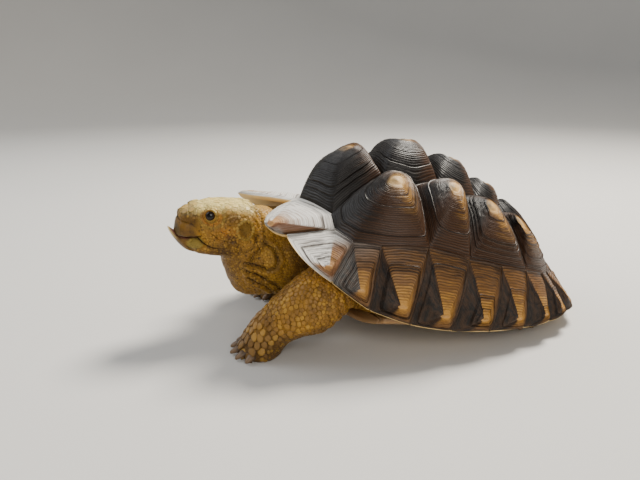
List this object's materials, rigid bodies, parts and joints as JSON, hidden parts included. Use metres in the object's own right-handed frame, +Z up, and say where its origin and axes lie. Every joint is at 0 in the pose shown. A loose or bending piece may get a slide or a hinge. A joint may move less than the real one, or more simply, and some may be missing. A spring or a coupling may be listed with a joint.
{
  "type": "sulcata tortoise",
  "caption": "Life-size still sulcata tortoise with tall pyramidal shell scutes, flared front rim, scaly forelegs and raised head.",
  "frame": {"origin": "on the floor under the middle of the overall box", "axes": "-Y towards the animal's nose, +X its left side, +Z up; the soles rest at z = 0"},
  "size_m": [0.31, 0.5055, 0.2223],
  "materials": {
    "vertebral_horn": "charcoal horn with fine growth ridges and a soft sheen",
    "costal_horn": "dark red-brown horn with growth ridges and golden tips, soft sheen",
    "marginal_horn": "brown horn with tan bands and a pale rim, soft sheen",
    "plastron_horn": "straw-coloured horn with brown growth lines, worn",
    "skin": "dry scaly ochre skin, matte",
    "beak": "dark brown horn, satin",
    "lower_beak": "pale yellow horn, satin",
    "mouth": "moist pink",
    "eye": "wet near-black eyeball"
  },
  "bodies": {
    "root": {"abdominal_left": "plastron_horn", "abdominal_right": "plastron_horn", "anal": "plastron_horn", "costal_1_left": "costal_horn", "costal_1_right": "costal_horn", "costal_2_left": "costal_horn", "costal_2_right": "costal_horn", "costal_3_left": "costal_horn", "costal_3_right": "costal_horn", "costal_4_left": "costal_horn", "costal_4_right": "costal_horn", "eye_left": "eye", "eye_right": "eye", "femoral_left": "plastron_horn", "femoral_right": "plastron_horn", "foreleg_left": "skin", "foreleg_right": "skin", "gular": "plastron_horn", "head": "skin", "hindleg_left": "skin", "hindleg_right": "skin", "humeral_left": "plastron_horn", "humeral_right": "plastron_horn", "lower_beak": "lower_beak", "lower_jaw": "skin", "marginal_10_left": "marginal_horn", "marginal_10_right": "marginal_horn", "marginal_11_left": "marginal_horn", "marginal_11_right": "marginal_horn", "marginal_1_left": "marginal_horn", "marginal_1_right": "marginal_horn", "marginal_2_left": "marginal_horn", "marginal_2_right": "marginal_horn", "marginal_3_left": "marginal_horn", "marginal_3_right": "marginal_horn", "marginal_4_left": "marginal_horn", "marginal_4_right": "marginal_horn", "marginal_5_left": "marginal_horn", "marginal_5_right": "marginal_horn", "marginal_6_left": "marginal_horn", "marginal_6_right": "marginal_horn", "marginal_7_left": "marginal_horn", "marginal_7_right": "marginal_horn", "marginal_8_left": "marginal_horn", "marginal_8_right": "marginal_horn", "marginal_9_left": "marginal_horn", "marginal_9_right": "marginal_horn", "neck": "skin", "pectoral_left": "plastron_horn", "pectoral_right": "plastron_horn", "supracaudal": "marginal_horn", "tail": "skin", "tongue": "mouth", "trunk": "skin", "upper_beak": "beak", "vertebral_1": "vertebral_horn", "vertebral_2": "vertebral_horn", "vertebral_3": "vertebral_horn", "vertebral_4": "vertebral_horn", "vertebral_5": "vertebral_horn"}
  },
  "joints": []
}
